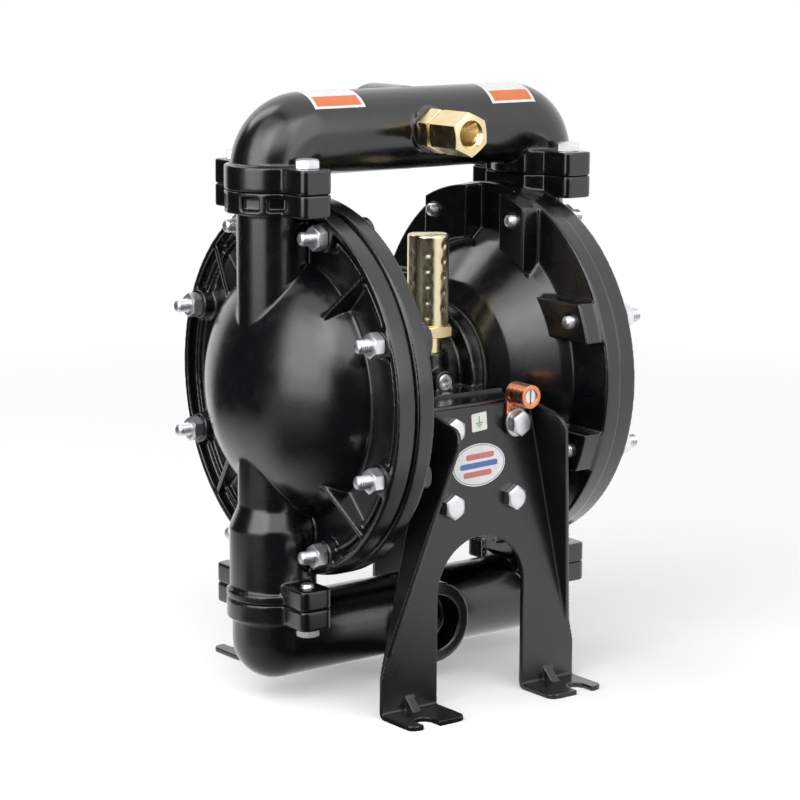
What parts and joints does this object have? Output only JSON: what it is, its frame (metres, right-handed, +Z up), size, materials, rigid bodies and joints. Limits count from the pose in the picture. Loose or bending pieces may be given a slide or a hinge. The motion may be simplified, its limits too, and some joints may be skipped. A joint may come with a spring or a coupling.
{
  "type": "air operated diaphragm pump",
  "caption": "Double diaphragm pump with domed chambers, top and bottom pipe manifolds, a perforated exhaust muffler and two folded leg brackets.",
  "frame": {"origin": "centre of the bounding box at the floor", "axes": "+X along the diaphragm rod, -Y towards the front bracket and inlet port, +Z up"},
  "size_m": [0.2476, 0.224, 0.3579],
  "materials": {
    "casting_paint": "gloss",
    "sheet_paint": "gloss",
    "zinc": "satin",
    "steel": "satin",
    "yellow_zinc": "satin",
    "brass": "satin",
    "copper": "satin",
    "bronze": "satin",
    "rubber": "matte",
    "gasket": "matte",
    "elastomer": "matte",
    "aluminium": "satin"
  },
  "bodies": {
    "pump": {"left_fluid_cap": "casting_paint", "right_fluid_cap": "casting_paint", "left_air_cap": "casting_paint", "right_air_cap": "casting_paint", "outlet_manifold": "casting_paint", "inlet_manifold": "casting_paint", "centre_body": "casting_paint", "valve_block": "casting_paint", "left_valve_cap": "casting_paint", "right_valve_cap": "casting_paint", "front_bracket": "sheet_paint", "rear_bracket": "sheet_paint", "left_clamp_bolts": "zinc", "right_clamp_bolts": "zinc", "left_clamp_nuts": "zinc", "right_clamp_nuts": "zinc", "outlet_manifold_bolts": "zinc", "inlet_manifold_bolts": "zinc", "front_bracket_bolts": "zinc", "rear_bracket_bolts": "zinc", "lug_bolt": "zinc", "lug_washer": "zinc", "valve_cap_screws": "zinc", "air_cap_screws": "zinc", "tower_plug": "steel", "left_inlet_seat": "steel", "right_inlet_seat": "steel", "left_outlet_seat": "steel", "right_outlet_seat": "steel", "lug_screw": "steel", "muffler_shell": "yellow_zinc", "muffler_base": "yellow_zinc", "brass_nipple": "brass", "brass_coupling": "brass", "ground_lug": "copper", "rod_bushings": "bronze", "pilot_bushings": "bronze", "left_diaphragm": "rubber", "right_diaphragm": "rubber", "rod_seals": "rubber", "outlet_seat_seals": "rubber", "inlet_seat_seals": "rubber", "valve_gasket": "gasket", "air_cap_gaskets": "gasket"},
    "rod": {"diaphragm_rod": "steel", "left_inner_washer": "steel", "right_inner_washer": "steel", "left_outer_washer": "aluminium", "right_outer_washer": "aluminium", "left_diaphragm_screw": "steel", "right_diaphragm_screw": "steel"},
    "pilot": {"pilot_rod": "steel"},
    "spool": {"valve_spool": "aluminium", "spool_seals": "rubber"},
    "left_inlet_ball": {"left_inlet_ball": "elastomer"},
    "right_inlet_ball": {"right_inlet_ball": "elastomer"},
    "left_outlet_ball": {"left_outlet_ball": "elastomer"},
    "right_outlet_ball": {"right_outlet_ball": "elastomer"}
  },
  "joints": [
    {"name": "rod_slide", "type": "slide", "parent": "pump", "child": "rod", "axis": [1, 0, 0], "range_m": [-0.0115, 0.0115], "deforming": ["left_diaphragm", "right_diaphragm"]},
    {"name": "pilot_slide", "type": "slide", "parent": "pump", "child": "pilot", "axis": [1, 0, 0], "range_m": [-0.0025, 0.0025]},
    {"name": "spool_slide", "type": "slide", "parent": "pump", "child": "spool", "axis": [1, 0, 0], "range_m": [-0.004, 0.004]},
    {"name": "left_inlet_ball_lift", "type": "slide", "parent": "pump", "child": "left_inlet_ball", "axis": [0, 0, 1], "range_m": [0, 0.008]},
    {"name": "right_inlet_ball_lift", "type": "slide", "parent": "pump", "child": "right_inlet_ball", "axis": [0, 0, 1], "range_m": [0, 0.008]},
    {"name": "left_outlet_ball_lift", "type": "slide", "parent": "pump", "child": "left_outlet_ball", "axis": [0, 0, 1], "range_m": [0, 0.008]},
    {"name": "right_outlet_ball_lift", "type": "slide", "parent": "pump", "child": "right_outlet_ball", "axis": [0, 0, 1], "range_m": [0, 0.008]}
  ],
  "couplings": [
    {"joint": "pilot_slide", "follows": "rod_slide", "ratio": 0.2174}
  ]
}
